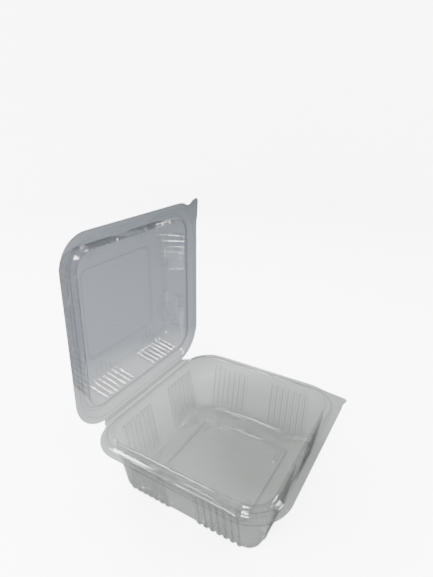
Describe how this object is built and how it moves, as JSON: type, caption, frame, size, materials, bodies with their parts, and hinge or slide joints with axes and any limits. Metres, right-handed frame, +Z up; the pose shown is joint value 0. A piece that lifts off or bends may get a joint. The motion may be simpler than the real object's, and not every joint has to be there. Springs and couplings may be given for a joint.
{
  "type": "hinged plastic food container",
  "caption": "Clear thermoformed clamshell container: a square grooved tub and shallow lid joined by a fold, standing open, for takeaway cake or other food.",
  "frame": {"origin": "centre of the underside of the lowered square panel the tub stands on", "axes": "+Z up from that panel, X along the fold with +X towards the tab corner, +Y towards the fold, front at -Y"},
  "size_m": [0.1525, 0.1733, 0.1942],
  "materials": {
    "tub_clear": "clear glossy thermoformed PET sheet",
    "lid_clear": "clear glossy thermoformed PET sheet"
  },
  "bodies": {
    "base": {"tub": "tub_clear"},
    "lid": {"lid": "lid_clear"}
  },
  "joints": [
    {"name": "lid_fold", "type": "hinge", "parent": "base", "child": "lid", "pos_m": [0, 0.0738, 0.0463], "axis": [1, 0, 0], "range_deg": [-91, 89]}
  ]
}
